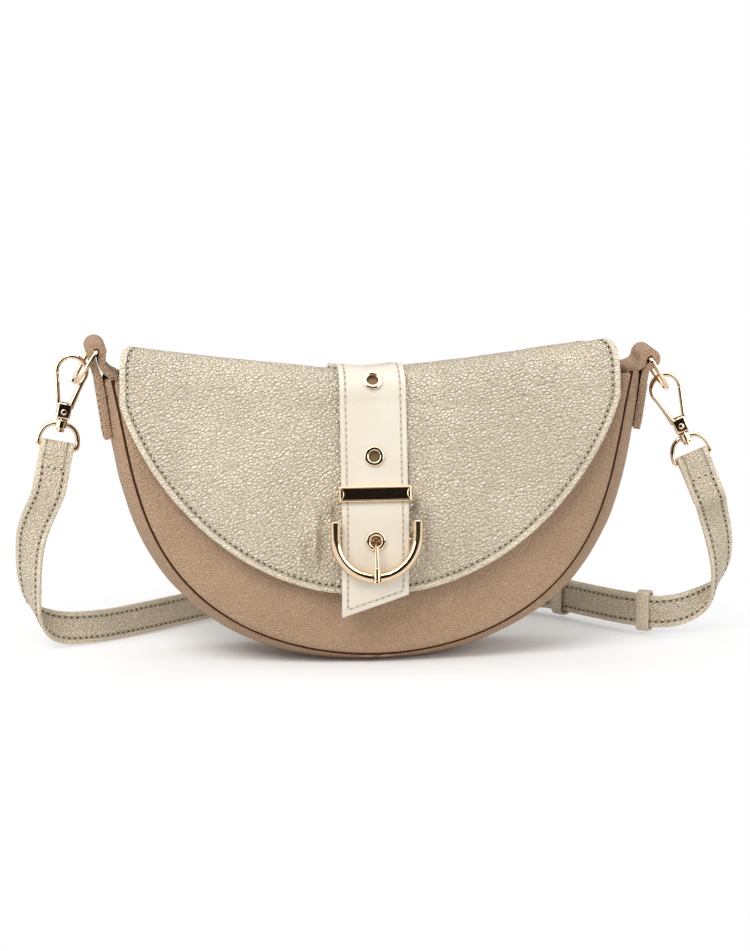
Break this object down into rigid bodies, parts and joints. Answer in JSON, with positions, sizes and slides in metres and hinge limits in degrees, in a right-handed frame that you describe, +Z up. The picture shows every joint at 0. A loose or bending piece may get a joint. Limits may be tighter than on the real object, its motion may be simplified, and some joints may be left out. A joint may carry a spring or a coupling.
{
  "type": "shoulder bag",
  "caption": "Half moon shoulder bag with a fold-over flap, a belt with a horseshoe buckle down its front, side tabs with rings and a clip-on adjustable strap",
  "frame": {"origin": "middle of the flat base that the bag stands on", "axes": "+Z up, front with the flap and buckle towards -Y, the bag's length along X, the strap's loop behind the bag towards +Y"},
  "size_m": [0.3516, 0.1699, 0.1541],
  "materials": {
    "tan_leather": "matt, pebbled",
    "champagne_leather": "metallic sheen, pebbled",
    "cream_leather": "smooth satin",
    "lining_cloth": "woven, matt",
    "pale_gold": "polished, light gold",
    "magnet_steel": "plated, satin"
  },
  "bodies": {
    "bag": {"front_panel": "tan_leather", "back_panel": "tan_leather", "gusset": "tan_leather", "lining_front": "lining_cloth", "lining_back": "lining_cloth", "lining_gusset": "lining_cloth", "flap_anchor": "champagne_leather", "magnet_cup": "magnet_steel", "tab_left": "tan_leather", "tab_right": "tan_leather"},
    "flap_assembly": {"flap": "champagne_leather", "belt_strap": "cream_leather", "eyelet_top": "pale_gold", "eyelet_middle": "pale_gold", "eyelet_buckle": "pale_gold", "keeper_bar": "pale_gold", "buckle_frame": "pale_gold", "buckle_pin": "pale_gold", "magnet_disc": "magnet_steel"},
    "flap_prong": {"buckle_prong": "pale_gold"},
    "left_ring": {"tab_ring_left": "pale_gold"},
    "right_ring": {"tab_ring_right": "pale_gold"},
    "shoulder_strap": {"long_strap": "champagne_leather", "short_strap": "champagne_leather", "strap_ring_left": "pale_gold", "strap_ring_right": "pale_gold", "keeper_loop_end": "champagne_leather", "keeper_loop_buckle": "champagne_leather", "strap_buckle": "pale_gold"},
    "strap_tongue": {"strap_prong": "pale_gold"},
    "left_hook": {"hook_left": "pale_gold", "rivet_left": "pale_gold"},
    "left_gate": {"gate_left": "pale_gold"},
    "right_hook": {"hook_right": "pale_gold", "rivet_right": "pale_gold"},
    "right_gate": {"gate_right": "pale_gold"}
  },
  "joints": [
    {"name": "flap_hinge", "type": "hinge", "parent": "bag", "child": "flap_assembly", "pos_m": [-0.002, 0.02839, 0.1197], "axis": [-1, 0, 0], "range_deg": [0, 150]},
    {"name": "buckle_prong_hinge", "type": "hinge", "parent": "flap_assembly", "child": "flap_prong", "pos_m": [-0.002, -0.04089, 0.06149], "axis": [-1, 0, 0], "range_deg": [0, 40]},
    {"name": "left_ring_hinge", "type": "hinge", "parent": "bag", "child": "left_ring", "pos_m": [-0.13052, 0, 0.1492], "axis": [0, 1, 0], "range_deg": [0, 8]},
    {"name": "right_ring_hinge", "type": "hinge", "parent": "bag", "child": "right_ring", "pos_m": [0.13424, 0, 0.1411], "axis": [0, 1, 0], "range_deg": [0, 8]},
    {"name": "strap_swing", "type": "hinge", "parent": "bag", "child": "shoulder_strap", "pos_m": [0.00061, 0, 0.13824], "axis": [0.9988, 0, -0.05], "range_deg": [0, 28]},
    {"name": "left_hook_swivel", "type": "hinge", "parent": "shoulder_strap", "child": "left_hook", "pos_m": [-0.14561, 0, 0.11912], "axis": [0.1994, 0, 0.9799], "range_deg": [-20, 20]},
    {"name": "right_hook_swivel", "type": "hinge", "parent": "shoulder_strap", "child": "right_hook", "pos_m": [0.15173, 0, 0.10652], "axis": [-0.3827, 0, 0.9239], "range_deg": [-20, 20]},
    {"name": "left_gate_hinge", "type": "hinge", "parent": "left_hook", "child": "left_gate", "pos_m": [-0.14561, 0, 0.11912], "axis": [0, 1, 0], "range_deg": [0, 14]},
    {"name": "right_gate_hinge", "type": "hinge", "parent": "right_hook", "child": "right_gate", "pos_m": [0.15173, 0, 0.10652], "axis": [0, -1, 0], "range_deg": [0, 14]},
    {"name": "strap_tongue_hinge", "type": "hinge", "parent": "shoulder_strap", "child": "strap_tongue", "pos_m": [0.084, 0.0822, 0.0116], "axis": [0, 0, -1], "range_deg": [0, 20]}
  ]
}
